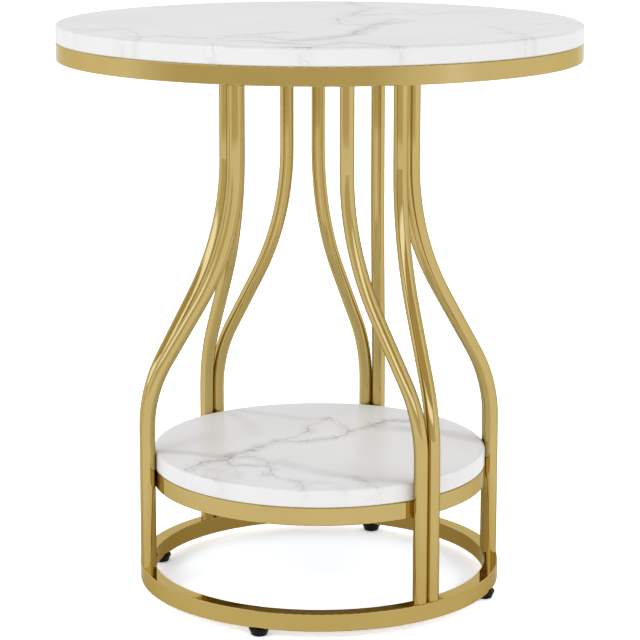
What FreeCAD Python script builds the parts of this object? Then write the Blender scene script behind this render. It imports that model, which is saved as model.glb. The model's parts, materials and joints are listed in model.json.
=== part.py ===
"""Tiered side table: two round panels on gold rings, ten S-bent tubes in five pairs, four levelling feet.

+Z is up, the origin is on the floor under the middle of the table, and the open side of the shelf faces -Y.
An azimuth is an angle about Z in degrees, counted from -Y towards +X.
"""
import FreeCAD, Part
import math
import os
import re
import Sketcher

# Driving dimensions, in millimetres and degrees.
SIZES = {
    "overall_height": 650.0,
    "top_diameter": 588.0,
    "shelf_height": 163.0,
    "panel_thickness": 19.5,
    "panel_edge_radius": 2.5,
    "panel_lower_edge": 1.0,
    "shelf_panel_inset": 0.6,
    "ring_height": 20.0,
    "ring_width": 16.0,
    "ring_edge_radius": 1.0,
    "weld_gap": 0.2,
    "tube_diameter": 16.0,
    "pair_gap": 0.4,
    "leg_circle_top": 107.5,
    "leg_circle_bottom": 199.5,
    "leg_spread_top": 20.0,
    "leg_slope": 30.0,
    "upper_bend_radius": 308.0,
    "lower_bend_radius": 160.0,
    "leg_bend_rise": 28.0,
    "front_right_azimuth": 55.0,
    "back_right_azimuth": 115.0,
    "back_azimuth": 180.0,
    "back_left_azimuth": 240.0,
    "front_left_azimuth": 300.0,
    "head_plate_thickness": 4.0,
    "head_plate_width": 34.0,
    "arm_width": 30.0,
    "arm_thickness": 4.0,
    "arm_screw_inset": 40.0,
    "bolt_diameter": 6.0,
    "bolt_head_diameter": 11.0,
    "bolt_head_height": 3.5,
    "bolt_engagement": 9.0,
    "insert_diameter": 9.0,
    "insert_length": 12.0,
    "screw_diameter": 4.0,
    "screw_head_diameter": 8.0,
    "screw_head_height": 2.6,
    "screw_engagement": 12.0,
    "fit_clearance": 0.05,
    "hole_clearance": 0.3,
    "tab_length": 26.0,
    "tab_width": 28.0,
    "tab_thickness": 3.0,
    "first_tab_azimuth": 27.5,
    "first_foot_azimuth": 0.0,
    "foot_height": 9.5,
    "foot_seat_gap": 0.3,
    "pad_top_diameter": 22.8,
    "pad_bottom_diameter": 18.0,
    "pad_lip": 2.2,
    "pad_edge": 1.6,
    "stud_diameter": 6.0,
    "stud_reach": 15.0,
    "stud_socket": 6.0,
    "stud_point": 0.8,
    "bush_diameter": 11.0,
    "bush_length": 8.0,
    "stud_headroom": 1.5,
}

# Sizes that follow from the driving dimensions.
DERIVED = {
    "top_radius": "top_diameter / 2",
    "top_panel_level": "overall_height - panel_thickness",
    "top_ring_level": "top_panel_level - ring_height",
    "arm_level": "top_panel_level - arm_thickness",
    "head_plate_level": "arm_level - head_plate_thickness",
    "head_plate_inner": "leg_circle_top - head_plate_width / 2",
    "head_plate_outer": "leg_circle_top + head_plate_width / 2",
    "arm_reach": "top_radius - ring_width - weld_gap",
    "arm_screw_circle": "arm_reach - arm_screw_inset",
    "shelf_panel_level": "shelf_height - panel_thickness",
    "shelf_ring_level": "shelf_panel_level - ring_height",
    "shelf_ring_radius": "leg_circle_bottom - tube_diameter / 2 - weld_gap",
    "shelf_panel_radius": "shelf_ring_radius - shelf_panel_inset",
    "tab_reach": "shelf_ring_radius - ring_width - weld_gap",
    "tab_inner": "tab_reach - tab_length",
    "tab_screw_circle": "tab_reach - tab_length / 2",
    "tab_level": "shelf_panel_level - tab_thickness",
    "base_ring_radius": "leg_circle_bottom + ring_width / 2",
    "leg_foot_level": "foot_height + ring_height",
    "leg_rise": "head_plate_level - leg_foot_level",
    "leg_foot_straight": "shelf_height + leg_bend_rise - leg_foot_level",
    "leg_spread_bottom": "asin((tube_diameter + pair_gap) / (2 * leg_circle_bottom))",
    "leg_foot_out": "leg_circle_bottom * cos(leg_spread_bottom)",
    "leg_foot_aside": "leg_circle_bottom * sin(leg_spread_bottom)",
    "leg_run_out": "leg_foot_out - leg_circle_top * cos(leg_spread_top * 1 deg)",
    "leg_run_aside": "leg_foot_aside - leg_circle_top * sin(leg_spread_top * 1 deg)",
    "leg_offset": "sqrt(leg_run_out * leg_run_out + leg_run_aside * leg_run_aside)",
    "leg_plane_turn": "atan(leg_run_aside / leg_run_out)",
    "pad_height": "foot_height - foot_seat_gap",
    "stud_level": "pad_height - stud_socket",
    "stud_length": "foot_height + stud_reach - stud_level",
    "bush_bore": "stud_diameter / 2 + fit_clearance",
}

LEG_PAIRS = ["front_right", "back_right", "back", "back_left", "front_left"]
PAIR_AZIMUTHS = [pair + "_azimuth" for pair in LEG_PAIRS]
TAB_COUNT = 4
TAB_AZIMUTHS = [f"first_tab_azimuth + {360 / TAB_COUNT * turn}" for turn in range(TAB_COUNT)]
FOOT_NAMES = ["front", "right", "back", "left"]
FOOT_AZIMUTHS = [f"first_foot_azimuth + {360 / len(FOOT_NAMES) * turn}" for turn in range(len(FOOT_NAMES))]

doc = FreeCAD.newDocument("tiered_side_table")
sheet = doc.addObject("Spreadsheet::Sheet", "Sizes")
for row, (alias, number) in enumerate(SIZES.items(), start=1):
    sheet.set(f"A{row}", alias.replace("_", " "))
    sheet.set(f"B{row}", str(number))
    sheet.setAlias(f"B{row}", alias)
doc.recompute()
nodes = []


def formula(text):
    """Spells out derived sizes, and points each driving dimension at its cell."""
    def swap(match):
        word = match.group()
        if word in DERIVED:
            return f"({formula(DERIVED[word])})"
        if word in SIZES:
            return f"Sizes.{word}"
        return word
    return re.sub(r"[a-z][a-z_]*", swap, text)


def bind(item, prop, text):
    item.setExpression(prop, formula(text))


def value(text):
    """The number that a formula gives with the sizes in the sheet; an angle is in degrees."""
    result = sheet.evalExpression(formula(text))
    return float(getattr(result, "Value", result))


def new_body(label, level="0", azimuth=None):
    """A body whose own X axis points outwards at the azimuth, at a level above the floor."""
    body = doc.addObject("PartDesign::Body", label)
    body.Label = label
    body.AllowCompound = True
    bind(body, "Placement.Base.z", level)
    if azimuth:
        bind(body, "Placement.Rotation.Angle", f"({azimuth} - 90) * 1 deg")
    nodes.append(body)
    return body


def new_sketch(body, name, role="XY_Plane", level=None):
    sketch = body.newObject("Sketcher::SketchObject", name)
    plane = next(item for item in body.Origin.OriginFeatures if item.Role == role)
    sketch.AttachmentSupport = [(plane, "")]
    sketch.MapMode = "FlatFace"
    if level:
        bind(sketch, "AttachmentOffset.Base.z", level)
    return sketch


def constrain(sketch, kind, *items, size=None, unit=""):
    """Adds a constraint, bound to a formula when it has a size."""
    if size is None:
        sketch.addConstraint(Sketcher.Constraint(kind, *items))
        return
    number = value(size)
    if kind == "Angle":
        number = math.radians(number)
    index = sketch.addConstraint(Sketcher.Constraint(kind, *items, number))
    sketch.setExpression(f"Constraints[{index}]", formula(f"({size}){unit}"))


# How a sketch numbers its own origin and axes, and the points of a line or an arc.
ORIGIN = (-1, 1)
X_AXIS = -1
Y_AXIS = -2
START, END, CENTRE = range(1, 4)


def outline(body, name, corners):
    """A closed outline in the XZ plane, each corner held at its (distance from the axis, height)."""
    sketch = new_sketch(body, name, "XZ_Plane")
    points = [FreeCAD.Vector(value(out), value(up), 0) for out, up in corners]
    for index, point in enumerate(points):
        sketch.addGeometry(Part.LineSegment(point, points[(index + 1) % len(points)]))
    for index, (out, up) in enumerate(corners):
        constrain(sketch, "Coincident", index, END, (index + 1) % len(corners), START)
        if out == "0":
            constrain(sketch, "PointOnObject", index, START, Y_AXIS)
        else:
            constrain(sketch, "DistanceX", *ORIGIN, index, START, size=out)
        if up == "0":
            constrain(sketch, "PointOnObject", index, START, X_AXIS)
        else:
            constrain(sketch, "DistanceY", *ORIGIN, index, START, size=up)
    return sketch


def add_circle(sketch, out, radius):
    """A circle centred on the sketch's X axis, or at its origin when it has no distance out."""
    centre = FreeCAD.Vector(value(out) if out else 0, 0, 0)
    index = sketch.addGeometry(Part.Circle(centre, FreeCAD.Vector(0, 0, 1), value(radius)))
    if out:
        constrain(sketch, "PointOnObject", index, CENTRE, X_AXIS)
        constrain(sketch, "DistanceX", *ORIGIN, index, CENTRE, size=out)
    else:
        constrain(sketch, "Coincident", index, CENTRE, *ORIGIN)
    constrain(sketch, "Radius", index, size=radius)


def add_spaced_circles(sketch, circle, azimuths, radii):
    """Concentric circles at each azimuth on a larger circle, each held by a spoke from the middle."""
    for azimuth in azimuths:
        turn = f"{azimuth} - 90"
        angle = math.radians(value(turn))
        centre = FreeCAD.Vector(math.cos(angle), math.sin(angle), 0) * value(circle)
        spoke = sketch.addGeometry(Part.LineSegment(FreeCAD.Vector(), centre), True)
        constrain(sketch, "Coincident", spoke, START, *ORIGIN)
        constrain(sketch, "Angle", spoke, size=turn, unit=" * 1 deg")
        constrain(sketch, "Distance", spoke, size=circle)
        for radius in radii:
            index = sketch.addGeometry(Part.Circle(centre, FreeCAD.Vector(0, 0, 1), value(radius)))
            constrain(sketch, "Coincident", index, CENTRE, spoke, END)
            constrain(sketch, "Radius", index, size=radius)


def pad(body, sketch, length):
    feature = body.newObject("PartDesign::Pad", sketch.Name + "_pad")
    feature.Profile = sketch
    bind(feature, "Length", length)
    sketch.Visibility = False
    doc.recompute()
    return feature


def pocket_up(body, sketch, depth):
    """Cuts upwards from the sketch, and makes sure that it took material away."""
    before = body.Shape.Volume
    feature = body.newObject("PartDesign::Pocket", sketch.Name + "_pocket")
    feature.Profile = sketch
    feature.Reversed = True
    bind(feature, "Length", depth)
    doc.recompute()
    if body.Shape.Volume >= before:
        raise RuntimeError(f"{feature.Name} cuts nothing")
    return feature


def revolve(body, sketch):
    feature = body.newObject("PartDesign::Revolution", sketch.Name + "_turned")
    feature.Profile = sketch
    feature.ReferenceAxis = (sketch, ["V_Axis"])
    feature.Angle = 360
    doc.recompute()
    return feature


def soften(body, kind, base, size, chosen):
    """A Fillet or Chamfer on the base's round edges that are chosen by their height."""
    edges = [f"Edge{index}" for index, edge in enumerate(base.Shape.Edges, start=1)
             if edge.isClosed() and chosen(edge.BoundBox.Center.z)]
    feature = body.newObject("PartDesign::" + kind, f"{base.Name}_{kind.lower()}")
    feature.Base = (base, edges)
    bind(feature, "Radius" if kind == "Fillet" else "Size", size)
    doc.recompute()
    return feature


def make_ring(label, radius, level):
    """A band bent to a circle, its four long edges rounded."""
    body = new_body(label, level)
    section = outline(body, label + "_section", [
        (f"{radius} - ring_width", "0"),
        (radius, "0"),
        (radius, "ring_height"),
        (f"{radius} - ring_width", "ring_height"),
    ])
    turned = revolve(body, section)
    soften(body, "Fillet", turned, "ring_edge_radius", lambda height: True)
    return body


def make_panel(label, radius, level):
    """A round board with a softly rounded upper edge and a broken lower edge."""
    body = new_body(label, level)
    disc = new_sketch(body, label + "_disc")
    add_circle(disc, None, radius)
    board = pad(body, disc, "panel_thickness")
    middle = value("panel_thickness") / 2
    rounded = soften(body, "Fillet", board, "panel_edge_radius", lambda height: height > middle)
    soften(body, "Chamfer", rounded, "panel_lower_edge", lambda height: height == 0)
    return body


def make_blind_holes(body, name, circle, azimuths, radius, depth):
    """Round holes at the azimuths, upwards from the body's lower face."""
    sketch = new_sketch(body, name)
    add_spaced_circles(sketch, circle, azimuths, [radius])
    pocket_up(body, sketch, depth)


def make_studs(label, level, circle, azimuths, stages):
    """One group of equal round pieces; each stage is (start above the level, length, radii)."""
    body = new_body(label, level)
    for number, (start, length, radii) in enumerate(stages, start=1):
        sketch = new_sketch(body, f"{label}_stage_{number}", level=start)
        add_spaced_circles(sketch, circle, azimuths, radii)
        pad(body, sketch, length)
    return body


def make_radial_bar(label, azimuth, level, inner, reach, width, thickness, holes):
    """A flat bar that points outwards, its outer end curved to lie against a ring.

    Each hole is (distance out, radius).
    """
    body = new_body(label, level, azimuth)
    sketch = new_sketch(body, label + "_outline")
    near, far, half = value(inner), value(reach), value(width) / 2
    swing = math.asin(half / far)
    tip = far * math.cos(swing)
    corners = [FreeCAD.Vector(tip, half, 0), FreeCAD.Vector(near, half, 0),
               FreeCAD.Vector(near, -half, 0), FreeCAD.Vector(tip, -half, 0)]
    upper = sketch.addGeometry(Part.LineSegment(corners[0], corners[1]))
    back = sketch.addGeometry(Part.LineSegment(corners[1], corners[2]))
    lower = sketch.addGeometry(Part.LineSegment(corners[2], corners[3]))
    round_end = Part.Circle(FreeCAD.Vector(), FreeCAD.Vector(0, 0, 1), far)
    end = sketch.addGeometry(Part.ArcOfCircle(round_end, -swing, swing))
    constrain(sketch, "Coincident", end, CENTRE, *ORIGIN)
    constrain(sketch, "Coincident", end, END, upper, START)
    constrain(sketch, "Coincident", upper, END, back, START)
    constrain(sketch, "Coincident", back, END, lower, START)
    constrain(sketch, "Coincident", lower, END, end, START)
    constrain(sketch, "Horizontal", upper)
    constrain(sketch, "Horizontal", lower)
    constrain(sketch, "Symmetric", back, START, back, END, X_AXIS)
    constrain(sketch, "Radius", end, size=reach)
    constrain(sketch, "DistanceY", back, END, back, START, size=width)
    constrain(sketch, "DistanceX", *ORIGIN, back, START, size=inner)
    for out, radius in holes:
        add_circle(sketch, out, radius)
    pad(body, sketch, thickness)
    return body


def make_leg(label, azimuth, side):
    """One tube: upright on the base ring, bent inwards, sloping, bent back and upright to the head plate.

    The tube lies in one upright plane. Its own X axis points from its upper end out to its lower end.
    """
    body = new_body(label, "leg_foot_level")
    outwards = f"({azimuth}) * 1 deg"
    aside = f"({side}) * leg_foot_aside"
    bind(body, "Placement.Base.x", f"leg_foot_out * sin({outwards}) + {aside} * cos({outwards})")
    bind(body, "Placement.Base.y", f"{aside} * sin({outwards}) - leg_foot_out * cos({outwards})")
    bind(body, "Placement.Rotation.Angle", f"({azimuth} - 90) * 1 deg + ({side}) * leg_plane_turn")

    slope = math.radians(value("leg_slope"))
    low, high = value("lower_bend_radius"), value("upper_bend_radius")
    offset, rise, straight = value("leg_offset"), value("leg_rise"), value("leg_foot_straight")
    along = FreeCAD.Vector(-math.sin(slope), math.cos(slope), 0)
    across = FreeCAD.Vector(math.cos(slope), math.sin(slope), 0)
    bend_foot = FreeCAD.Vector(0, straight, 0)
    low_centre = bend_foot - FreeCAD.Vector(low, 0, 0)
    slope_foot = low_centre + across * low
    slope_length = (offset - (low + high) * (1 - math.cos(slope))) / math.sin(slope)
    slope_top = slope_foot + along * slope_length
    high_centre = slope_top + across * high
    bend_top = high_centre - FreeCAD.Vector(high, 0, 0)
    top = FreeCAD.Vector(-offset, rise, 0)

    path = new_sketch(body, label + "_path", "XZ_Plane")
    normal = FreeCAD.Vector(0, 0, 1)
    foot_line = path.addGeometry(Part.LineSegment(FreeCAD.Vector(), bend_foot))
    low_arc = path.addGeometry(Part.ArcOfCircle(Part.Circle(low_centre, normal, low), 0, slope))
    slope_line = path.addGeometry(Part.LineSegment(slope_foot, slope_top))
    high_circle = Part.Circle(high_centre, normal, high)
    high_arc = path.addGeometry(Part.ArcOfCircle(high_circle, math.pi, math.pi + slope))
    head_line = path.addGeometry(Part.LineSegment(bend_top, top))
    constrain(path, "Coincident", foot_line, START, *ORIGIN)
    constrain(path, "Vertical", foot_line)
    constrain(path, "Tangent", foot_line, END, low_arc, START)
    constrain(path, "Tangent", low_arc, END, slope_line, START)
    constrain(path, "Tangent", slope_line, END, high_arc, END)
    constrain(path, "Tangent", high_arc, START, head_line, START)
    constrain(path, "Vertical", head_line)
    constrain(path, "Radius", low_arc, size="lower_bend_radius")
    constrain(path, "Radius", high_arc, size="upper_bend_radius")
    constrain(path, "Angle", slope_line, size="leg_slope + 90", unit=" * 1 deg")
    constrain(path, "DistanceX", head_line, END, *ORIGIN, size="leg_offset")
    constrain(path, "DistanceY", *ORIGIN, foot_line, END, size="leg_foot_straight")
    constrain(path, "DistanceY", *ORIGIN, head_line, END, size="leg_rise")

    section = new_sketch(body, label + "_section")
    add_circle(section, None, "tube_diameter / 2")
    doc.recompute()
    tube = body.newObject("PartDesign::AdditivePipe", label + "_tube")
    tube.Profile = section
    tube.Spine = (path, [f"Edge{index + 1}" for index in range(path.GeometryCount)])
    doc.recompute()
    return body


def make_top():
    panel = make_panel("top_panel", "top_radius", "top_panel_level")
    make_blind_holes(panel, "insert_seats", "leg_circle_top", PAIR_AZIMUTHS,
                     "insert_diameter / 2 + fit_clearance", "insert_length")
    make_blind_holes(panel, "top_screw_holes", "arm_screw_circle", PAIR_AZIMUTHS,
                     "screw_diameter / 2 + fit_clearance", "screw_engagement + hole_clearance")
    make_ring("top_ring", "top_radius", "top_ring_level")
    for pair, azimuth in zip(LEG_PAIRS, PAIR_AZIMUTHS):
        make_radial_bar(f"top_arm_{pair}", azimuth, "arm_level", "head_plate_inner", "arm_reach",
                        "arm_width", "arm_thickness",
                        [("leg_circle_top", "bolt_diameter / 2 + hole_clearance"),
                         ("arm_screw_circle", "screw_diameter / 2 + hole_clearance")])
    plate = new_body("leg_head_plate", "head_plate_level")
    rings = new_sketch(plate, "leg_head_plate_outline")
    add_circle(rings, None, "head_plate_outer")
    add_circle(rings, None, "head_plate_inner")
    add_spaced_circles(rings, "leg_circle_top", PAIR_AZIMUTHS, ["bolt_diameter / 2 + hole_clearance"])
    pad(plate, rings, "head_plate_thickness")
    make_studs("panel_inserts", "top_panel_level", "leg_circle_top", PAIR_AZIMUTHS,
               [("0", "insert_length", ["insert_diameter / 2", "bolt_diameter / 2 + fit_clearance"])])
    make_studs("head_plate_bolts", "head_plate_level", "leg_circle_top", PAIR_AZIMUTHS,
               [("-bolt_head_height", "bolt_head_height", ["bolt_head_diameter / 2"]),
                ("0", "head_plate_thickness + arm_thickness + bolt_engagement", ["bolt_diameter / 2"])])
    make_studs("top_panel_screws", "arm_level", "arm_screw_circle", PAIR_AZIMUTHS,
               [("-screw_head_height", "screw_head_height", ["screw_head_diameter / 2"]),
                ("0", "arm_thickness + screw_engagement", ["screw_diameter / 2"])])


def make_legs():
    for pair, azimuth in zip(LEG_PAIRS, PAIR_AZIMUTHS):
        make_leg(f"leg_{pair}_a", azimuth, -1)
        make_leg(f"leg_{pair}_b", azimuth, 1)


def make_shelf():
    panel = make_panel("shelf_panel", "shelf_panel_radius", "shelf_panel_level")
    make_blind_holes(panel, "shelf_screw_holes", "tab_screw_circle", TAB_AZIMUTHS,
                     "screw_diameter / 2 + fit_clearance", "screw_engagement + hole_clearance")
    make_ring("shelf_ring", "shelf_ring_radius", "shelf_ring_level")
    for number, azimuth in enumerate(TAB_AZIMUTHS, start=1):
        make_radial_bar(f"shelf_tab_{number}", azimuth, "tab_level", "tab_inner", "tab_reach",
                        "tab_width", "tab_thickness",
                        [("tab_screw_circle", "screw_diameter / 2 + hole_clearance")])
    make_studs("shelf_panel_screws", "tab_level", "tab_screw_circle", TAB_AZIMUTHS,
               [("-screw_head_height", "screw_head_height", ["screw_head_diameter / 2"]),
                ("0", "tab_thickness + screw_engagement", ["screw_diameter / 2"])])


def make_foot(name, azimuth):
    """A threaded stud, and the tapered pad that turns on its lower end."""
    outwards = f"({azimuth}) * 1 deg"
    stud = new_body(f"foot_stud_{name}", "stud_level")
    pad_body = new_body(f"foot_pad_{name}")
    for body in (stud, pad_body):
        bind(body, "Placement.Base.x", f"leg_circle_bottom * sin({outwards})")
        bind(body, "Placement.Base.y", f"-leg_circle_bottom * cos({outwards})")
    revolve(stud, outline(stud, stud.Label + "_profile", [
        ("0", "0"),
        ("stud_diameter / 2", "0"),
        ("stud_diameter / 2", "stud_length - stud_point"),
        ("stud_diameter / 2 - stud_point", "stud_length"),
        ("0", "stud_length"),
    ]))
    revolve(pad_body, outline(pad_body, pad_body.Label + "_profile", [
        ("0", "0"),
        ("pad_bottom_diameter / 2 - pad_edge", "0"),
        ("pad_bottom_diameter / 2", "pad_edge"),
        ("pad_top_diameter / 2", "pad_height - pad_lip"),
        ("pad_top_diameter / 2", "pad_height"),
        ("bush_bore", "pad_height"),
        ("bush_bore", "stud_level - foot_seat_gap"),
        ("0", "stud_level - foot_seat_gap"),
    ]))


def make_base():
    ring = make_ring("base_ring", "base_ring_radius", "foot_height")
    make_blind_holes(ring, "bush_seats", "leg_circle_bottom", FOOT_AZIMUTHS,
                     "bush_diameter / 2 + fit_clearance", "bush_length")
    make_blind_holes(ring, "stud_rooms", "leg_circle_bottom", FOOT_AZIMUTHS,
                     "bush_bore + hole_clearance", "stud_reach + stud_headroom")
    make_studs("foot_bushes", "foot_height", "leg_circle_bottom", FOOT_AZIMUTHS,
               [("0", "bush_length", ["bush_diameter / 2", "bush_bore"])])
    for name, azimuth in zip(FOOT_NAMES, FOOT_AZIMUTHS):
        make_foot(name, azimuth)


def check_document():
    """Stops if anything in the document failed, or a piece has no sound shape."""
    failed = [item.Label for item in doc.Objects if "Invalid" in item.State or "Error" in item.State]
    unsound = [body.Label for body in nodes if body.Shape.isNull() or not body.Shape.isValid()]
    if failed or unsound:
        raise RuntimeError(f"failed: {failed}; unsound: {unsound}")


def write_parts():
    os.makedirs("parts", exist_ok=True)
    for body in nodes:
        body.Shape.exportStep(f"parts/{body.Label}.step")
        print(body.Label, len(body.Shape.Solids), "solids", round(body.Shape.Volume), "mm3")


make_top()
make_legs()
make_shelf()
make_base()
doc.recompute()
check_document()
write_parts()
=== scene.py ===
"""Looks of the tiered side table: marble-look boards, gold frame, zinc fasteners and black feet."""
import json
import math

import bmesh
import bpy
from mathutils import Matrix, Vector


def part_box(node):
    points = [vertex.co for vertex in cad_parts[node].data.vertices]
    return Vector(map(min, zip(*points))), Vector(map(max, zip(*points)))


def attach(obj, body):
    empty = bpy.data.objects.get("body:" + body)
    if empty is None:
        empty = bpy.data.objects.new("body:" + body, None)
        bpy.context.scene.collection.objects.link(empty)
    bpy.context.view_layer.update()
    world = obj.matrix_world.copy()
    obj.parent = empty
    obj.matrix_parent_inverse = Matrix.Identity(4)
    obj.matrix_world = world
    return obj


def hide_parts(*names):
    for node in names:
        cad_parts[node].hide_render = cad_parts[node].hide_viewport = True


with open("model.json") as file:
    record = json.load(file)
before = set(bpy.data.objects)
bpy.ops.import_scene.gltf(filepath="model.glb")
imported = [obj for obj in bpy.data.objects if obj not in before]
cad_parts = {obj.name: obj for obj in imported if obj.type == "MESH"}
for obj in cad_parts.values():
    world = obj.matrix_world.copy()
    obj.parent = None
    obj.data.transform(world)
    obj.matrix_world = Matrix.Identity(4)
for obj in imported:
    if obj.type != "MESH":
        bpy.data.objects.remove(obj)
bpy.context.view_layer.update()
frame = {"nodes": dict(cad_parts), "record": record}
nodes = frame["nodes"]
MM = 0.001
WHITE = (1.0, 1.0, 1.0, 1.0)

# Small enough to count as nothing, as a length in metres or as a sine.
TINY = 1e-6

# Camera: where the photograph was taken from, in metres and degrees round the table's axis.
# The lens is in millimetres, and the shifts are shares of the picture's width.
CAMERA_AZIMUTH = 19.05
CAMERA_DISTANCE = 2.5815
CAMERA_HEIGHT = 0.875
CAMERA_PITCH = 10.78
CAMERA_ROLL = 0.08
CAMERA_LENS = 129.92
CAMERA_SHIFT_X = 0.0007
CAMERA_SHIFT_Y = -0.1
CAMERA_REACH = 100.0

# Light on the table: an even surround, brightest low down and slightly cool, and two soft lamps.
# A lamp is (azimuth from the camera, elevation, power in watts).
HORIZON_LIGHT = 1.34
ZENITH_LIGHT = 0.06
LIGHT_COOLNESS = 1.025
LAMPS = {"left_lamp": (-46.0, 31.0, 21.5), "right_lamp": (58.0, 34.0, 15.0)}
LAMP_SIZE = (1.4, 1.0)
LAMP_DISTANCE = 4.4
LAMP_TARGET = Vector((0.0, 0.0, 0.4))

# Floor: it lights the table as FLOOR_COLOUR. The eye sees FLOOR_SHOWN, shaded, with a cool lift.
# Polished metal mirrors the floor with painted shade: three tones from under the table outwards, dark and
# warm under it and white far out, which meet at the radii of the shade.
FLOOR_RADIUS = 12.0
FLOOR_SIDES = 96
FLOOR_COLOUR = (0.90, 0.90, 0.90, 1.0)
FLOOR_SHOWN = (1.90, 1.90, 1.90, 1.0)
FLOOR_LIFT = (0.12, 0.19, 0.285, 1.0)
FLOOR_PAINTED_SHADE_UNDER = (0.45, 0.37, 0.23, 1.0)
FLOOR_PAINTED_SHADE_BESIDE = (0.86, 0.82, 0.69, 1.0)
FLOOR_AWAY = (1.0, 1.0, 1.05, 1.0)
SHADE_NEAR = 0.17
SHADE_EDGE = 0.24
SHADE_FAR = 0.65

# The studio that polished metal sees: dim walls and two soft boxes, at azimuths counted from the camera.
# A wall is (depth, azimuths at which it starts, is full, fades and ends), and a row is (elevation, walls).
# A soft box is (azimuths, elevations, tone, droop of its ends), with both spans given as for a wall.
ROOM_RADIUS = 3.8
ROOM_EYE = 0.4
ROOM_WHITE = (1.0, 1.0, 1.05, 1.0)
ROOM_DARK = (0.58, 0.51, 0.30, 1.0)
ROOM_AZIMUTHS = range(-120, 156, 4)
LOW_WALL = [(0.66, (-86, -62, 19, 46))]
HIGH_WALL = [(1.00, (-118, -102, 36, 52)), (0.45, (76, 88, 130, 150))]
ROOM_ROWS = [(-20, LOW_WALL), (3, LOW_WALL), (8, HIGH_WALL), (46, HIGH_WALL), (58, [])]
BOX_RADIUS = 3.6
BOX_STEPS = 24
SOFT_BOXES = {
    "left_soft_box": ((-101, -91, 20, 31), (5.5, 10.0, 21.0, 25.5), (1.45, 1.58, 2.20, 1.0), 0.3),
    "right_soft_box": ((47, 54, 58, 68), (-6.0, -3.0, 36.0, 42.0), (1.10, 1.12, 1.38, 1.0), 0.0),
}

# Marble on each board, in millimetres: thin veins and broad soft bands, each (depth, width, points).
TOP_VEINS = [
    (0.36, 2.5, [(-217, -184), (-190, -171), (-166, -157), (-135, -202), (-109, -260)]),
    (0.35, 2.5, [(-199, -212), (-184, -182)]),
    (0.60, 3.0, [(-125, -234), (-100, -218), (-67, -226), (-39, -233), (-24, -183), (3, -136),
                 (15, -132)]),
    (0.58, 3.5, [(-31, -221), (-15, -208), (6, -191), (50, -220), (77, -193), (84, -145), (70, -50),
                 (68, 56)]),
    (0.60, 3.0, [(-12, -247), (12, -236), (62, -254), (94, -256), (105, -218)]),
    (0.60, 3.0, [(61, -285), (83, -278), (96, -246)]),
    (0.50, 4.0, [(1, 53), (21, 5), (37, -29), (68, -20)]),
    (0.45, 4.0, [(-62, 292), (-48, 248), (-3, 200), (0, 155), (2, 111), (14, 72), (1, 53)]),
    (0.45, 4.0, [(8, 92), (39, 117), (61, 126)]),
    (0.28, 4.0, [(48, 184), (78, 137), (90, 107), (99, 160), (140, 200), (165, 245)]),
    (0.22, 3.5, [(236, -66), (214, -22), (178, 20), (202, 28), (226, 49), (244, 55), (284, 72)]),
    (0.50, 2.5, [(180, -262), (172, -245), (145, -232), (105, -218)]),
    (0.40, 2.5, [(280, -140), (256, -102), (251, -64), (233, -66)]),
    (0.40, 2.0, [(-123, -275), (-129, -235)]),
    (0.45, 2.0, [(-7, -300), (-19, -266)]),
]
TOP_BANDS = [
    (0.26, 18.0, [(50, -215), (84, -140), (70, -40), (90, 40)]),
    (0.25, 7.0, [(-104, -285), (-118, -240)]),
    (0.25, 7.0, [(290, -125), (262, -95)]),
]
SHELF_VEINS = [
    (0.70, 2.2, [(-99, -151), (-101, -140), (-99, -115), (-77, -101), (-76, -81), (-67, -55), (-50, -10),
                 (-25, -3), (8, 32), (15, 48), (13, 67), (32, 102), (40, 123), (68, 135), (95, 150)]),
    (0.60, 2.0, [(-51, -9), (-38, 13), (-29, 43), (-38, 71), (-29, 109), (-13, 93), (6, 81), (13, 67)]),
    (0.62, 1.6, [(-77, -101), (-64, -118), (-28, -108), (-18, -117), (-14, -139)]),
    (0.50, 1.6, [(-70, -83), (-52, -81), (-32, -91), (-18, -117)]),
    (0.40, 1.5, [(-33, -88), (-21, -78)]),
    (0.50, 1.5, [(-14, -139), (20, -149), (35, -158), (48, -185)]),
    (0.45, 1.5, [(46, -160), (54, -149), (65, -145), (90, -175)]),
    (0.45, 1.5, [(79, -122), (97, -131), (118, -150)]),
    (0.30, 1.4, [(-99, -149), (-84, -144), (-68, -147), (-60, -123), (-42, -159)]),
    (0.30, 1.4, [(-99, -145), (-83, -166), (-63, -174), (-36, -192)]),
]
SHELF_BANDS = [
    (0.36, 15.0, [(-190, -96), (-125, -89), (-90, -90)]),
    (0.16, 16.0, [(-150, 112), (-99, 104), (-51, 96)]),
    (0.12, 14.0, [(-149, 97), (-120, 67), (-84, 17)]),
    (0.28, 19.0, [(-15, -90), (47, -112), (100, -122), (160, -112)]),
    (0.32, 22.0, [(42, 94), (124, 94), (190, 74)]),
]

# How a vein is drawn: the strength of its line, and that of a halo some widths and some millimetres wider.
LINE_STRENGTH = 0.85
HALO_STRENGTH = 0.7
HALO_WIDTHS = 4
HALO_MARGIN = 8

# Print on a board, by how far its surface faces up: full on the top, a share of it on the side, and none
# on the plain back.
PRINT_STARTS = 0.3
PRINT_FULL = 0.9
SIDE_PRINT = 0.45
BACK_STARTS = -0.7
BACK_FULL = -0.9
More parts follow.
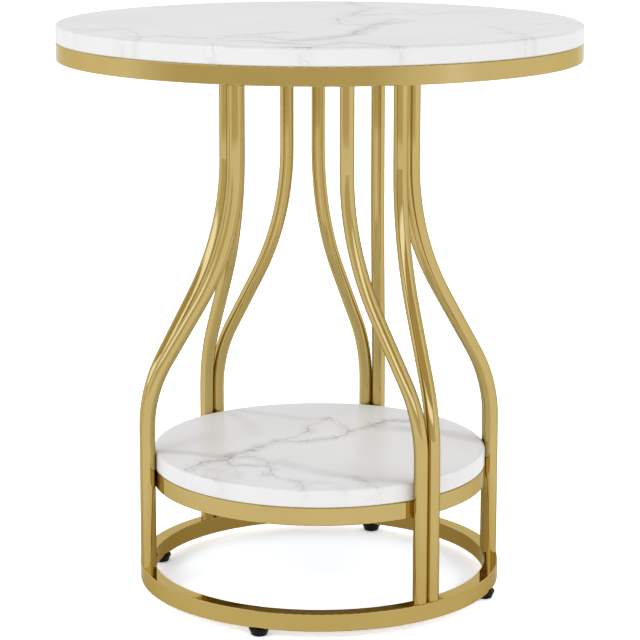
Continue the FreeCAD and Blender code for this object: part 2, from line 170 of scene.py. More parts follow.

# Colours of the finishes. A plating's tint is its colour where it is seen at a low angle.
# Painted light in the boards' ground colours: the shelf's face is lighter and cooler than the top's,
# against the shade under the top and the warm light off the gold, and the top's face is painted a little
# darker than its side.
TOP_FACE = (0.865, 0.863, 0.835, 1.0)
TOP_SIDE = (0.881, 0.881, 0.861, 1.0)
SHELF_FACE_PAINTED_LIGHT = (0.952, 0.980, 1.000, 1.0)
SHELF_SIDE = (0.918, 0.921, 0.904, 1.0)
MARBLE_GREY = (0.38, 0.38, 0.38, 1.0)
BACKING_BOARD = (0.56, 0.50, 0.40, 1.0)
GOLD_LIGHT = (0.582, 0.443, 0.165, 1.0)
GOLD_DEEP = (0.562, 0.425, 0.154, 1.0)
GOLD_TINT = (0.44, 0.39, 0.28, 1.0)
# Painted sheen: the rings' copies of the one gold plating take paler low-angle tints than the tubes',
# which brightens their glancing reflections.
TOP_RING_PAINTED_SHEEN_TINT = (0.82, 0.77, 0.56, 1.0)
LOW_RING_PAINTED_SHEEN_TINT = (0.70, 0.64, 0.50, 1.0)
ZINC_LIGHT = (0.64, 0.65, 0.67, 1.0)
ZINC_DARK = (0.54, 0.55, 0.56, 1.0)
BRASS_LIGHT = (0.74, 0.58, 0.27, 1.0)
BRASS_DARK = (0.66, 0.50, 0.21, 1.0)
PLASTIC_BLACK = (0.005, 0.005, 0.0055, 1.0)
PLASTIC_WORN = (0.014, 0.014, 0.015, 1.0)

# Noise in the finishes, by its scale and detail. A drift adds a length in metres. Patches add a range
# of the noise, what its two ends give and, where it isn't the usual one, the noise's roughness.
# Ripples add roughness and distortion. A grain adds the strength of a bump and its height in metres.
NOISE_MIDDLE = 0.5
NOISE_ROUGHNESS = 0.5
DRIFT_ROUGHNESS = 0.6
VEIN_BEND = (7.0, 2.0, 0.018)
VEIN_JAGS = [(34.0, 3.0, 0.014), (140.0, 4.0, 0.008)]
LINE_PATCHES = (30.0, 3.0, 0.32, 0.62, 0.25, 1.0)
HALO_PATCHES = (22.0, 4.0, 0.35, 0.68, 0.05, 0.55)
BAND_PATCHES = (18.0, 3.0, 0.25, 0.65, 0.45, 1.0)
HAZE_PATCHES = (5.0, 3.0, 0.45, 0.75, 0.0, 0.06)
OFFSHOOT_RIPPLES = (30.0, 4.0, 0.55, 0.8)
OFFSHOOT_WIDTH = 0.024
MARBLE_GLOSS = (6.0, 2.0, 0.3, 0.7, 0.22, 0.25)
MARBLE_GRAIN = (900.0, 2.0, 0.005, 0.0004)
MARBLE_SPECULAR = 0.05
GOLD_PATCHES = (12.0, 3.0, 0.35, 0.65, 0.0, 1.0)
GOLD_GLOSS = (90.0, 3.0, 0.3, 0.7, 0.04, 0.06, 0.6)
GOLD_GRAIN = (1400.0, 2.0, 0.01, 0.0001)
METAL_BLOTCHES = (260.0, 4.0, 0.35, 0.65, 0.0, 1.0)
PLASTIC_PATCHES = (220.0, 4.0, 0.55, 0.8, 0.0, 1.0)
PLASTIC_GLOSS = (500.0, 3.0, 0.3, 0.7, 0.20, 0.30)
PLASTIC_GRAIN = (2600.0, 2.0, 0.08, 0.0002)
PLASTIC_SPECULAR = 0.16

# Scratches on plain metal: noise squeezed along the vertical, and what it does to roughness and surface.
SCRATCH_SQUEEZE = (1.0, 1.0, 6.0)
SCRATCH_NOISE = (1500.0, 2.0)
SCRATCH_RANGE = (0.3, 0.7)
SCRATCH_BUMP = (0.05, 0.0001)
SMOOTHER_BY = 0.06
ROUGHER_BY = 0.08
ZINC_ROUGHNESS = 0.28
BRASS_ROUGHNESS = 0.30

# Sockets of a Mix node when it blends colours.
MIX_SHARE = 0
MIX_FIRST = 6
MIX_SECOND = 7
MIX_RESULT = 2

# Turned pieces: steps in a quarter round, and the angle in degrees past which an edge stays sharp.
ROUND_STEPS = 6
SHARP_ANGLE = 35.0

# Hexagon-socket button-head bolts, heads down: sizes in millimetres.
BOLT_SIDES = 48
BOLT_RADIUS = 3.0
BOLT_POINT = 0.6
BOLT_HEAD = 3.5
BOLT_HEAD_RADIUS = 5.5
BOLT_HEAD_BEVEL = 0.2
BOLT_FACE = 3.0
BOLT_DOME = 2.6
SOCKET_FLAT = 2.0
SOCKET_DEPTH = 2.0
SOCKET_POINT = 0.4
SOCKET_BEVEL = 0.15
SOCKET_RIM = 0.45

# Cross-recess pan-head screws, heads down: sizes in millimetres.
# Near its floor the recess has narrowed to a share of its outline.
SCREW_RADIUS = 2.0
SCREW_POINT = 3.0
SCREW_HEAD = 2.6
SCREW_HEAD_RADIUS = 4.0
SCREW_HEAD_BEVEL = 0.15
SCREW_FACE = 2.3
SCREW_DOME = 1.8
CROSS_REACH = 1.9
CROSS_HALF_WIDTH = 0.5
CROSS_DEPTH = 1.6
CROSS_POINT = 0.2
CROSS_BEVEL = 0.1
CROSS_NARROWS = 0.45

# Studs of the levelling feet, with a thread: sizes in millimetres.
STUD_SIDES = 20
STUD_POINT = 0.8
THREAD_PITCH = 1.0
THREAD_CREST = 3.0
THREAD_ROOT = 2.45
THREAD_STEPS = 6

# Pads of the levelling feet, rounded below and with a lip above: sizes in millimetres.
# The lip's curve is (depth below the top, share of the lip), and the shoulder's (depth, distance inwards).
PAD_SIDES = 72
PAD_FOOT = 7.2
PAD_ROUND = 1.8
PAD_LIP = 0.65
PAD_LIP_CURVE = [(2.9, 1.0), (2.75, 0.9), (2.65, 0.45), (2.5, 0.2), (2.2, 0.0), (0.6, 0.0)]
PAD_SHOULDER = [(0.25, 0.1), (0.0, 0.45)]
PAD_BORE = 3.05
PAD_BORE_FLOOR = 2.9
PAD_MOUTH_WIDTH = 0.5
PAD_MOUTH_DEPTH = 0.4


def connect(tree, socket, given):
    """Links an output to a socket, or sets the socket to a value."""
    if isinstance(given, bpy.types.NodeSocket):
        tree.links.new(given, socket)
    else:
        socket.default_value = given


def set_inputs(tree, node, **inputs):
    """Sets or links inputs by their sockets' names, with an underscore for each space."""
    for name, given in inputs.items():
        connect(tree, node.inputs[name.replace("_", " ")], given)


def add(tree, kind, settings=None, **inputs):
    """Adds a node with its settings and inputs."""
    made = tree.nodes.new(kind)
    for name, choice in (settings or {}).items():
        setattr(made, name, choice)
    set_inputs(tree, made, **inputs)
    return made


def compute(tree, operation, *values, clamp=False):
    """The output of a Math node on one to three values."""
    made = add(tree, "ShaderNodeMath", {"operation": operation, "use_clamp": clamp})
    for socket, given in zip(made.inputs, values):
        connect(tree, socket, given)
    return made.outputs[0]


def chain(tree, operation, values):
    """Joins a list of values by one Math operation."""
    result = values[0]
    for given in values[1:]:
        result = compute(tree, operation, result, given)
    return result


def vector(tree, operation, *values, output="Vector"):
    """An output of a Vector Math node on up to three vectors."""
    made = add(tree, "ShaderNodeVectorMath", {"operation": operation})
    for socket, given in zip(made.inputs, values):
        connect(tree, socket, given)
    return made.outputs[output]


def scaled(tree, point, factor):
    """A vector times a number."""
    made = add(tree, "ShaderNodeVectorMath", {"operation": "SCALE"}, Scale=factor)
    tree.links.new(point, made.inputs[0])
    return made.outputs["Vector"]


def ramp(tree, given, low, high, low_gives, high_gives):
    """Maps a value's range smoothly onto another, and holds it at both ends."""
    made = add(tree, "ShaderNodeMapRange", {"interpolation_type": "SMOOTHSTEP"}, Value=given,
               From_Min=low, From_Max=high, To_Min=low_gives, To_Max=high_gives)
    return made.outputs["Result"]


def noise(tree, point, scale, detail, roughness=NOISE_ROUGHNESS, distortion=0.0, output="Fac"):
    """An output of a Noise Texture at a point."""
    made = add(tree, "ShaderNodeTexNoise", Vector=point, Scale=scale, Detail=detail,
               Roughness=roughness, Distortion=distortion)
    return made.outputs[output]


def patches(tree, point, scale, detail, low, high, low_gives, high_gives, roughness=NOISE_ROUGHNESS):
    """A value that changes from place to place, by a range of the noise."""
    return ramp(tree, noise(tree, point, scale, detail, roughness), low, high, low_gives, high_gives)


def drift(tree, point, scale, detail, amount):
    """A point pushed about by noise, by up to half the amount each way."""
    tossed = noise(tree, point, scale, detail, DRIFT_ROUGHNESS, output="Color")
    push = vector(tree, "SUBTRACT", tossed, (NOISE_MIDDLE, NOISE_MIDDLE, NOISE_MIDDLE))
    return vector(tree, "ADD", point, scaled(tree, push, amount))


def bump(tree, height, strength, distance):
    """A surface normal tilted by a height."""
    made = add(tree, "ShaderNodeBump", Height=height, Strength=strength, Distance=distance)
    return made.outputs["Normal"]


def grain(tree, point, scale, detail, strength, distance):
    """A surface normal tilted by fine noise."""
    return bump(tree, noise(tree, point, scale, detail), strength, distance)


def blend_colours(tree, share, first, second):
    """The first colour, turning into the second as the share goes from 0 to 1."""
    made = add(tree, "ShaderNodeMix", {"data_type": "RGBA"})
    connect(tree, made.inputs[MIX_SHARE], share)
    connect(tree, made.inputs[MIX_FIRST], first)
    connect(tree, made.inputs[MIX_SECOND], second)
    return made.outputs[MIX_RESULT]


def blend_shaders(tree, share, first, second):
    """Mixes two shaders, and sends the mix to the material's surface."""
    mixed = add(tree, "ShaderNodeMixShader")
    for socket, given in zip(mixed.inputs, (share, first.outputs[0], second.outputs[0])):
        tree.links.new(given, socket)
    tree.links.new(mixed.outputs[0], tree.nodes["Material Output"].inputs["Surface"])
    return mixed


def new_material(name):
    """A material with a Principled shader, and its node tree."""
    material = bpy.data.materials.new(name)
    material.use_nodes = True
    return material, material.node_tree


def bare_material(name):
    """A material with no shader yet, and its node tree."""
    material, tree = new_material(name)
    tree.nodes.remove(tree.nodes["Principled BSDF"])
    return material, tree


def shaded_point(tree):
    """The point that is shaded, in metres in the shared frame."""
    return add(tree, "ShaderNodeTexCoord").outputs["Object"]


def finish_shader(tree, **inputs):
    """Sets or links inputs of the material's Principled shader."""
    set_inputs(tree, tree.nodes["Principled BSDF"], **inputs)


def make_segment_group():
    """A node group that gives the distance from a point to a straight segment."""
    group = bpy.data.node_groups.new("segment_distance", "ShaderNodeTree")
    for name in ("Point", "Start", "Run"):
        group.interface.new_socket(name, in_out="INPUT", socket_type="NodeSocketVector")
    group.interface.new_socket("Distance", in_out="OUTPUT", socket_type="NodeSocketFloat")
    given = group.nodes.new("NodeGroupInput").outputs
    result = group.nodes.new("NodeGroupOutput")
    away = vector(group, "SUBTRACT", given["Point"], given["Start"])
    reach = vector(group, "DOT_PRODUCT", away, given["Run"], output="Value")
    length = vector(group, "DOT_PRODUCT", given["Run"], given["Run"], output="Value")
    share = compute(group, "DIVIDE", reach, length, clamp=True)
    nearest = scaled(group, given["Run"], share)
    left = vector(group, "SUBTRACT", away, nearest)
    group.links.new(vector(group, "LENGTH", left, output="Value"), result.inputs["Distance"])
    return group


SEGMENT_GROUP = make_segment_group()


def line_distance(tree, point, points):
    """Distance from the shaded point to a line through the points, seen from above."""
    flat = vector(tree, "MULTIPLY", point, (1.0, 1.0, 0.0))
    distances = []
    for start, end in zip(points, points[1:]):
        run = ((end[0] - start[0]) * MM, (end[1] - start[1]) * MM, 0)
        part = add(tree, "ShaderNodeGroup", {"node_tree": SEGMENT_GROUP}, Point=flat,
                   Start=(start[0] * MM, start[1] * MM, 0), Run=run)
        distances.append(part.outputs["Distance"])
    return chain(tree, "MINIMUM", distances)


def print_depth(tree, point, veins, bands):
    """How grey the print is: jagged veins with halos and fine offshoots, soft bands and a faint haze."""
    gentle = drift(tree, point, *VEIN_BEND)
    jagged = gentle
    for jag in VEIN_JAGS:
        jagged = drift(tree, jagged, *jag)
    lines, halos, clouds = [], [], []
    for depth, width, points in veins:
        away = line_distance(tree, jagged, points)
        lines.append(ramp(tree, away, 0.0, width * MM, LINE_STRENGTH * depth, 0.0))
        halo_width = HALO_WIDTHS * width + HALO_MARGIN
        halos.append(ramp(tree, away, 0.0, halo_width * MM, HALO_STRENGTH * depth, 0.0))
    for depth, width, points in bands:
        away = line_distance(tree, gentle, points)
        clouds.append(ramp(tree, away, 0.0, width * MM, depth, 0.0))
    near_vein = chain(tree, "MAXIMUM", halos)
    line = compute(tree, "MULTIPLY", chain(tree, "MAXIMUM", lines), patches(tree, point, *LINE_PATCHES))
    halo = compute(tree, "MULTIPLY", near_vein, patches(tree, gentle, *HALO_PATCHES))
    cloud = compute(tree, "MULTIPLY", chain(tree, "MAXIMUM", clouds), patches(tree, gentle, *BAND_PATCHES))
    ripples = noise(tree, gentle, *OFFSHOOT_RIPPLES)
    ridge = compute(tree, "ABSOLUTE", compute(tree, "SUBTRACT", ripples, NOISE_MIDDLE))
    offshoots = compute(tree, "MULTIPLY", near_vein, ramp(tree, ridge, 0.0, OFFSHOOT_WIDTH, 1.0, 0.0))
    haze = patches(tree, gentle, *HAZE_PATCHES)
    return chain(tree, "ADD", [compute(tree, "MAXIMUM", line, offshoots), halo, cloud, haze])


def make_marble(name, face, side, veins, bands):
    """Satin marble print on the top of a board and, fainter, on its side, with plain board underneath."""
    material, tree = new_material(name)
    point = shaded_point(tree)
    normal = add(tree, "ShaderNodeNewGeometry").outputs["Normal"]
    facing_up = add(tree, "ShaderNodeSeparateXYZ", Vector=normal).outputs["Z"]
    on_top = ramp(tree, facing_up, PRINT_STARTS, PRINT_FULL, 0.0, 1.0)
    strength = compute(tree, "MULTIPLY_ADD", on_top, 1.0 - SIDE_PRINT, SIDE_PRINT)
    grey = compute(tree, "MULTIPLY", print_depth(tree, point, veins, bands), strength, clamp=True)
    print_colour = blend_colours(tree, grey, blend_colours(tree, on_top, side, face), MARBLE_GREY)
    on_back = ramp(tree, facing_up, BACK_FULL, BACK_STARTS, 1.0, 0.0)
    finish_shader(tree, Base_Color=blend_colours(tree, on_back, print_colour, BACKING_BOARD),
                  Specular_IOR_Level=MARBLE_SPECULAR, Roughness=patches(tree, point, *MARBLE_GLOSS),
                  Normal=grain(tree, point, *MARBLE_GRAIN))
    return material


def make_gold(name, tint):
    """Bright gold plating: faint patches of colour, a slightly uneven gloss and a very fine grain."""
    material, tree = new_material(name)
    point = shaded_point(tree)
    deeper = patches(tree, point, *GOLD_PATCHES)
    finish_shader(tree, Base_Color=blend_colours(tree, deeper, GOLD_LIGHT, GOLD_DEEP), Metallic=1.0,
                  Specular_Tint=tint, Roughness=patches(tree, point, *GOLD_GLOSS),
                  Normal=grain(tree, point, *GOLD_GRAIN))
    return material


def make_metal(name, light, dark, roughness):
    """Plain plated or turned metal with small blotches and fine scratches."""
    material, tree = new_material(name)
    point = shaded_point(tree)
    blotches = patches(tree, point, *METAL_BLOTCHES)
    scratches = noise(tree, vector(tree, "MULTIPLY", point, SCRATCH_SQUEEZE), *SCRATCH_NOISE)
    uneven = ramp(tree, scratches, *SCRATCH_RANGE, roughness - SMOOTHER_BY, roughness + ROUGHER_BY)
    finish_shader(tree, Base_Color=blend_colours(tree, blotches, light, dark), Metallic=1.0,
                  Roughness=uneven, Normal=bump(tree, scratches, *SCRATCH_BUMP))
    return material


def make_plastic(name):
    """Black moulded plastic: fine grain, slightly uneven gloss, a little paler where it has rubbed."""
    material, tree = new_material(name)
    point = shaded_point(tree)
    rubbed = patches(tree, point, *PLASTIC_PATCHES)
    finish_shader(tree, Base_Color=blend_colours(tree, rubbed, PLASTIC_BLACK, PLASTIC_WORN),
                  Specular_IOR_Level=PLASTIC_SPECULAR, Roughness=patches(tree, point, *PLASTIC_GLOSS),
                  Normal=grain(tree, point, *PLASTIC_GRAIN))
    return material


MATERIALS = {
    "gold_metal": make_gold("gold_plating", GOLD_TINT),
    "zinc_steel": make_metal("zinc_plating", ZINC_LIGHT, ZINC_DARK, ZINC_ROUGHNESS),
    "brass_insert": make_metal("turned_brass", BRASS_LIGHT, BRASS_DARK, BRASS_ROUGHNESS),
    "black_plastic": make_plastic("moulded_plastic"),
}
# The rings' copies of the gold carry painted sheen.
LOW_RING_GOLD_PAINTED_SHEEN = make_gold("low_ring_plating_painted_sheen", LOW_RING_PAINTED_SHEEN_TINT)
NODE_MATERIALS = {
    "top_ring": make_gold("top_ring_plating_painted_sheen", TOP_RING_PAINTED_SHEEN_TINT),
    "shelf_ring": LOW_RING_GOLD_PAINTED_SHEEN,
    "base_ring": LOW_RING_GOLD_PAINTED_SHEEN,
    "top_panel": make_marble("marble_top", TOP_FACE, TOP_SIDE, TOP_VEINS, TOP_BANDS),
    # The shelf's face colour holds painted light.
    "shelf_panel": make_marble("marble_shelf_painted_light", SHELF_FACE_PAINTED_LIGHT, SHELF_SIDE, SHELF_VEINS, SHELF_BANDS),
}
RECORD = frame["record"]
SLOTS = {item["node"]: item["material_slot"] for item in RECORD["subparts"]}
BODIES = {node: body for body, members in RECORD["behaviour"]["bodies"].items() for node in members}


def dress_nodes():
    """Gives every CAD node its own finish, or else that of its material slot."""
    for node, slot in SLOTS.items():
        nodes[node].data.materials[0] = NODE_MATERIALS.get(node) or MATERIALS[slot]


def add_object(name, data):
    """An object in the scene that shows a mesh, a lamp or a camera."""
    made = bpy.data.objects.new(name, data)
    bpy.context.scene.collection.objects.link(made)
    return made


def finish_mesh(shape, name):
    """Turns an edited shape into a mesh, and frees it."""
    mesh = bpy.data.meshes.new(name)
    shape.to_mesh(mesh)
    shape.free()
    return mesh


def middles(node):
    """The places, seen from above, of the separate solids in a node."""
    shape = bmesh.new()
    shape.from_mesh(nodes[node].data)
    bmesh.ops.remove_doubles(shape, verts=shape.verts, dist=TINY)
    places, seen = [], set()
    for first in shape.verts:
        if first in seen:
            continue
        seen.add(first)
        solid, waiting = [], [first]
        while waiting:
            vertex = waiting.pop()
            solid.append(vertex.co.xy)
            beside = {edge.other_vert(vertex) for edge in vertex.link_edges} - seen
            seen |= beside
            waiting += beside
        places.append([(min(p[axis] for p in solid) + max(p[axis] for p in solid)) / 2 for axis in (0, 1)])
    shape.free()
    return places


def turned(name, node, rings, angles):
    """A closed piece turned about an upright axis, once for each solid of the node that it stands for.

    Each ring is (height above the node's lowest point, radius), in millimetres. A radius may be worked out
    from the angle. The first and last rings are points on the axis.
    """
    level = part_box(node)[0][2]
    shape = bmesh.new()
    for x, y in middles(node):
        rows = []
        for height, radius in rings:
            sizes = [radius(a) if callable(radius) else radius for a in angles] if radius else [0.0]
            offsets = [(size * MM * math.cos(a), size * MM * math.sin(a))
                       for size, a in zip(sizes, angles)]
            rows.append([shape.verts.new((x + dx, y + dy, level + height * MM)) for dx, dy in offsets])
        for lower, upper in zip(rows, rows[1:]):
            for step in range(len(angles)):
                after = (step + 1) % len(angles)
                corners = [lower[step % len(lower)], lower[after % len(lower)],
                           upper[after % len(upper)], upper[step % len(upper)]]
                shape.faces.new(list(dict.fromkeys(corners)))
    bmesh.ops.recalc_face_normals(shape, faces=shape.faces)
    mesh = finish_mesh(shape, name)
    mesh.shade_smooth()
    mesh.set_sharp_from_angle(angle=math.radians(SHARP_ANGLE))
    mesh.materials.append(MATERIALS[SLOTS[node]])
    piece = add_object(name, mesh)
    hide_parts(node)
    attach(piece, BODIES[node])


def quarter_round(radius, width, rise):
    """Rings round a shoulder, from a flat face of that radius at the bottom out to the side."""
    turns = [math.pi / 2 * step / ROUND_STEPS for step in range(1, ROUND_STEPS + 1)]
    return [(rise * (1 - math.cos(t)), radius + width * math.sin(t)) for t in turns]


def spread_angles(count):
    """Angles spread evenly round a turn."""
    return [2 * math.pi * step / count for step in range(count)]


def node_height(node):
    """A node's height, in millimetres."""
    low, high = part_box(node)
    return (high[2] - low[2]) / MM


def socket_radius(angle):
    """The outline of a hexagon socket, as a distance from its middle."""
    return SOCKET_FLAT / math.cos((angle + math.pi / 6) % (math.pi / 3) - math.pi / 6)


def make_bolts():
    """Button-head bolts with a hexagon socket, from the socket round the head to the tip."""
    node = "head_plate_bolts"
    tip = node_height(node)
    rings = [(SOCKET_DEPTH + SOCKET_POINT, 0), (SOCKET_DEPTH, socket_radius),
             (SOCKET_BEVEL, socket_radius), (0.0, BOLT_FACE - SOCKET_RIM), (0.0, BOLT_FACE)]
    rings += quarter_round(BOLT_FACE, BOLT_HEAD_RADIUS - BOLT_FACE, BOLT_DOME)
    rings += [(BOLT_HEAD - BOLT_HEAD_BEVEL, BOLT_HEAD_RADIUS),
              (BOLT_HEAD, BOLT_HEAD_RADIUS - BOLT_HEAD_BEVEL), (BOLT_HEAD, BOLT_RADIUS),
              (tip - BOLT_POINT, BOLT_RADIUS), (tip, BOLT_RADIUS - BOLT_POINT), (tip, 0)]
    turned("socket_bolts", node, rings, spread_angles(BOLT_SIDES))


def cross_radius(angle):
    """The outline of a cross-shaped recess, as a distance from its middle."""
    lean = abs((angle + math.pi / 4) % (math.pi / 2) - math.pi / 4)
    return min(CROSS_REACH / math.cos(lean), CROSS_HALF_WIDTH / max(math.sin(lean), TINY))


def cross_floor_radius(angle):
    """The outline of the recess near its floor."""
    return CROSS_NARROWS * cross_radius(angle)


def cross_angles():
    """Angles that fall on the corners of the cross, with a few between."""
    corner, inside = math.atan2(CROSS_HALF_WIDTH, CROSS_REACH), math.pi / 4
    eighth = [0.0, corner / 2, corner, (2 * corner + inside) / 3, (corner + 2 * inside) / 3]
    quarter = eighth + [inside] + [math.pi / 2 - a for a in reversed(eighth[1:])]
    return [turn * math.pi / 2 + a for turn in range(4) for a in quarter]


def make_screws(name, node):
    """Pan-head screws with a cross recess, from the recess round the head to the point."""
    tip = node_height(node)
    rings = [(CROSS_DEPTH, 0), (CROSS_DEPTH - CROSS_POINT, cross_floor_radius),
             (CROSS_BEVEL, cross_radius), (0.0, SCREW_FACE)]
    rings += quarter_round(SCREW_FACE, SCREW_HEAD_RADIUS - SCREW_FACE, SCREW_DOME)
    rings += [(SCREW_HEAD - SCREW_HEAD_BEVEL, SCREW_HEAD_RADIUS),
              (SCREW_HEAD, SCREW_HEAD_RADIUS - SCREW_HEAD_BEVEL), (SCREW_HEAD, SCREW_RADIUS),
              (tip - SCREW_POINT, SCREW_RADIUS), (tip, 0)]
    turned(name, node, rings, cross_angles())


def thread_ring(height, tip):
    """One level of the thread: the crest climbs one pitch a turn, and the end tapers to a blunt point."""
    limit = THREAD_CREST - max(0.0, height - (tip - STUD_POINT))

    def radius(angle):
        turn = (height / THREAD_PITCH - angle / (2 * math.pi)) % 1.0
        return min(limit, THREAD_ROOT + (THREAD_CREST - THREAD_ROOT) * abs(2 * turn - 1))
    return height, radius


def make_stud(foot):
    """The threaded stud of a foot."""
    node = f"foot_stud_{foot}"
    tip = node_height(node)
    count = int(tip / THREAD_PITCH * THREAD_STEPS)
    rings = [(0.0, 0)] + [thread_ring(tip * step / count, tip) for step in range(count + 1)] + [(tip, 0)]
    turned(f"threaded_stud_{foot}", node, rings, spread_angles(STUD_SIDES))


def make_pad(foot):
    """The pad of a foot, from its rounded underside over the lip into the bore that holds the stud."""
    node = f"foot_pad_{foot}"
    low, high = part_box(node)
    radius, top = (high[0] - low[0]) / 2 / MM, node_height(node)
    rings = [(0.0, 0), (0.0, PAD_FOOT)] + quarter_round(PAD_FOOT, PAD_ROUND, PAD_ROUND)
    rings += [(top - depth, radius - share * PAD_LIP) for depth, share in PAD_LIP_CURVE]
    rings += [(top - depth, radius - inwards) for depth, inwards in PAD_SHOULDER]
    rings += [(top, PAD_BORE + PAD_MOUTH_WIDTH), (top - PAD_MOUTH_DEPTH, PAD_BORE),
              (PAD_BORE_FLOOR, PAD_BORE), (PAD_BORE_FLOOR, 0)]
    turned(f"rounded_pad_{foot}", node, rings, spread_angles(PAD_SIDES))


def seen_rays(tree):
    """One for a ray from the eye, and one for a ray that polished metal or glass sends on."""
    path = add(tree, "ShaderNodeLightPath").outputs
    sent_on = compute(tree, "MAXIMUM", path["Is Glossy Ray"], path["Is Transmission Ray"])
    return path["Is Camera Ray"], sent_on


def make_floor():
    """A plain floor, white to the eye, which keeps the table's shade. From below it is clear."""
    shape = bmesh.new()
    bmesh.ops.create_circle(shape, cap_ends=True, segments=FLOOR_SIDES, radius=FLOOR_RADIUS)
    mesh = finish_mesh(shape, "floor")
    material, tree = bare_material("floor_white")
    # Painted shade: the floor that metal mirrors gets darker and warmer towards the table's middle.
    reach = vector(tree, "LENGTH", shaded_point(tree), output="Value")
    beside = ramp(tree, reach, SHADE_NEAR, SHADE_EDGE, 0.0, 1.0)
    away = ramp(tree, reach, SHADE_EDGE, SHADE_FAR, 0.0, 1.0)
    near = blend_colours(tree, beside, FLOOR_PAINTED_SHADE_UNDER, FLOOR_PAINTED_SHADE_BESIDE)
    in_metal_with_painted_shade = blend_colours(tree, away, near, FLOOR_AWAY)
    camera_ray, metal_ray = seen_rays(tree)
    colour = blend_colours(tree, camera_ray, FLOOR_COLOUR, FLOOR_SHOWN)
    diffuse = add(tree, "ShaderNodeBsdfDiffuse", Color=colour)
    lift = add(tree, "ShaderNodeEmission", Color=FLOOR_LIFT, Strength=camera_ray)
    shaded = add(tree, "ShaderNodeAddShader")
    for socket, given in zip(shaded.inputs, (diffuse, lift)):
        tree.links.new(given.outputs[0], socket)
    # For polished metal the floor glows with this painted shade.
    mirrored = add(tree, "ShaderNodeEmission", Color=in_metal_with_painted_shade, Strength=1.0)
    from_above = blend_shaders(tree, metal_ray, shaded, mirrored)
    below = add(tree, "ShaderNodeNewGeometry").outputs["Backfacing"]
    blend_shaders(tree, below, from_above, add(tree, "ShaderNodeBsdfTransparent"))
    mesh.materials.append(material)
    add_object("floor", mesh)


def make_world():
    """A white surround that lights the table mostly from low down, evenly all round."""
    world = bpy.data.worlds.new("studio")
    bpy.context.scene.world = world
    world.use_nodes = True
    tree = world.node_tree
    towards = add(tree, "ShaderNodeTexCoord").outputs["Generated"]
    rise = add(tree, "ShaderNodeSeparateXYZ", Vector=towards).outputs["Z"]
    light = compute(tree, "MULTIPLY_ADD", compute(tree, "MULTIPLY", rise, rise),
                    ZENITH_LIGHT - HORIZON_LIGHT, HORIZON_LIGHT)
    cool = compute(tree, "MULTIPLY", light, LIGHT_COOLNESS)
    on_table = add(tree, "ShaderNodeCombineColor", Red=light, Green=light, Blue=cool).outputs["Color"]
    camera_ray, metal_ray = seen_rays(tree)
    unmirrored = blend_colours(tree, camera_ray, on_table, WHITE)
    shown = blend_colours(tree, metal_ray, unmirrored, ROOM_WHITE)
    tree.links.new(shown, tree.nodes["Background"].inputs["Color"])


def round_place(azimuth, distance, height):
    """A point at an azimuth counted from -Y towards +X."""
    turn = math.radians(azimuth)
    return Vector((distance * math.sin(turn), -distance * math.cos(turn), height))


def trapeze(at, start, full, fade, end):
    """Rises from 0 to 1 between start and full, and falls back between fade and end."""
    return max(0.0, min(1.0, (at - start) / (full - start), (end - at) / (end - fade)))


def add_screen(name, columns, tone):
    """A screen that only polished metal sees. Each column is a list of (place, share of the tone)."""
    shape = bmesh.new()
    layer = shape.verts.layers.float.new("share")
    rows = []
    for column in columns:
        row = []
        for place, share in column:
            vertex = shape.verts.new(place)
            vertex[layer] = share
            row.append(vertex)
        rows.append(row)
    for left, right in zip(rows, rows[1:]):
        for step in range(len(left) - 1):
            shape.faces.new((left[step], right[step], right[step + 1], left[step + 1]))
    mesh = finish_mesh(shape, name)
    material, tree = bare_material(name + "_tone")
    share = add(tree, "ShaderNodeAttribute", {"attribute_name": "share"}).outputs["Fac"]
    blend_shaders(tree, share, add(tree, "ShaderNodeBsdfTransparent"),
                  add(tree, "ShaderNodeEmission", Color=tone, Strength=1.0))
    mesh.materials.append(material)
    screen = add_object(name, mesh)
    screen.visible_camera = False
    screen.visible_diffuse = False
    screen.visible_shadow = False


def make_room():
    """The dim walls of the studio behind the camera and to both sides of it, from the floor up."""
    columns = []
    for azimuth in ROOM_AZIMUTHS:
        column = []
        for elevation, walls in ROOM_ROWS:
            height = max(0.0, ROOM_EYE + ROOM_RADIUS * math.tan(math.radians(elevation)))
            share = max((depth * trapeze(azimuth, *span) for depth, span in walls), default=0.0)
            column.append((round_place(CAMERA_AZIMUTH + azimuth, ROOM_RADIUS, height), share))
        columns.append(column)
    add_screen("room", columns, ROOM_DARK)


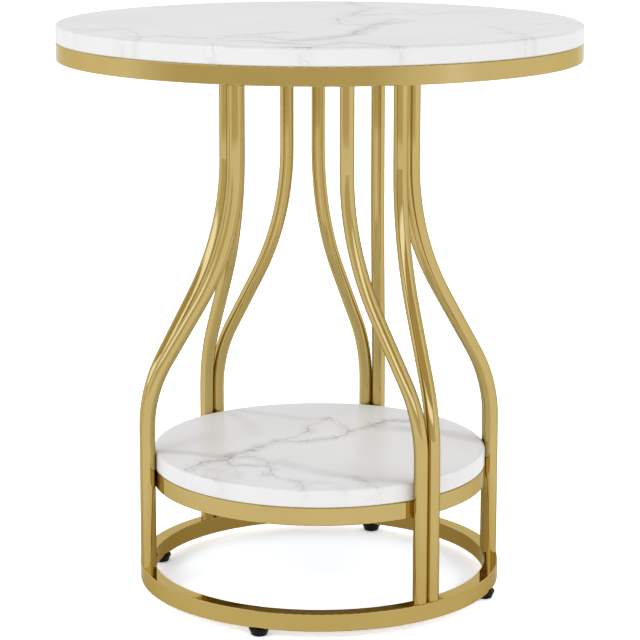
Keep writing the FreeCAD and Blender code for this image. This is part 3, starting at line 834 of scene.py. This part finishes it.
def make_soft_box(name, azimuths, elevations, tone, droop):
    """A long soft box with soft edges, which may come lower towards its ends."""
    middle, half = (azimuths[0] + azimuths[-1]) / 2, (azimuths[-1] - azimuths[0]) / 2
    columns = []
    for step in range(BOX_STEPS + 1):
        aside = -half + 2 * half * step / BOX_STEPS
        share = trapeze(middle + aside, *azimuths)
        column = []
        for elevation in elevations:
            rise = math.radians(elevation * (1 - droop * (aside / half) ** 2))
            height = ROOM_EYE + BOX_RADIUS * math.tan(rise)
            place = round_place(CAMERA_AZIMUTH + middle + aside, BOX_RADIUS, height)
            column.append((place, share * trapeze(elevation, *elevations)))
        columns.append(column)
    add_screen(name, columns, tone)


def make_lamp(name, azimuth, elevation, power):
    """A soft lamp to one side of the camera, which shades the table and isn't mirrored in it."""
    data = bpy.data.lights.new(name, "AREA")
    data.shape = "RECTANGLE"
    data.size, data.size_y = LAMP_SIZE
    data.energy = power
    lamp = add_object(name, data)
    rise = math.radians(elevation)
    aside, above = LAMP_DISTANCE * math.cos(rise), LAMP_DISTANCE * math.sin(rise)
    away = round_place(CAMERA_AZIMUTH + azimuth, aside, above)
    lamp.location = LAMP_TARGET + away
    lamp.rotation_euler = (-away).to_track_quat("-Z", "Y").to_euler()
    lamp.visible_glossy = False


def make_camera():
    """The camera of the photograph, with its picture slightly shifted."""
    data = bpy.data.cameras.new("camera")
    data.lens = CAMERA_LENS
    data.shift_x, data.shift_y = CAMERA_SHIFT_X, CAMERA_SHIFT_Y
    data.clip_end = CAMERA_REACH
    camera = add_object("camera", data)
    camera.location = round_place(CAMERA_AZIMUTH, CAMERA_DISTANCE, CAMERA_HEIGHT)
    camera.rotation_euler = (math.radians(90.0 - CAMERA_PITCH), 0.0, math.radians(CAMERA_AZIMUTH))
    camera.rotation_euler.rotate_axis("Z", math.radians(CAMERA_ROLL))
    bpy.context.scene.camera = camera


dress_nodes()
make_bolts()
make_screws("top_cross_screws", "top_panel_screws")
make_screws("shelf_cross_screws", "shelf_panel_screws")
for foot in ("front", "right", "back", "left"):
    make_stud(foot)
    make_pad(foot)
make_floor()
make_world()
make_room()
for name, places in SOFT_BOXES.items():
    make_soft_box(name, *places)
for name, settings in LAMPS.items():
    make_lamp(name, *settings)
make_camera()
bpy.context.scene.view_settings.view_transform = "Standard"
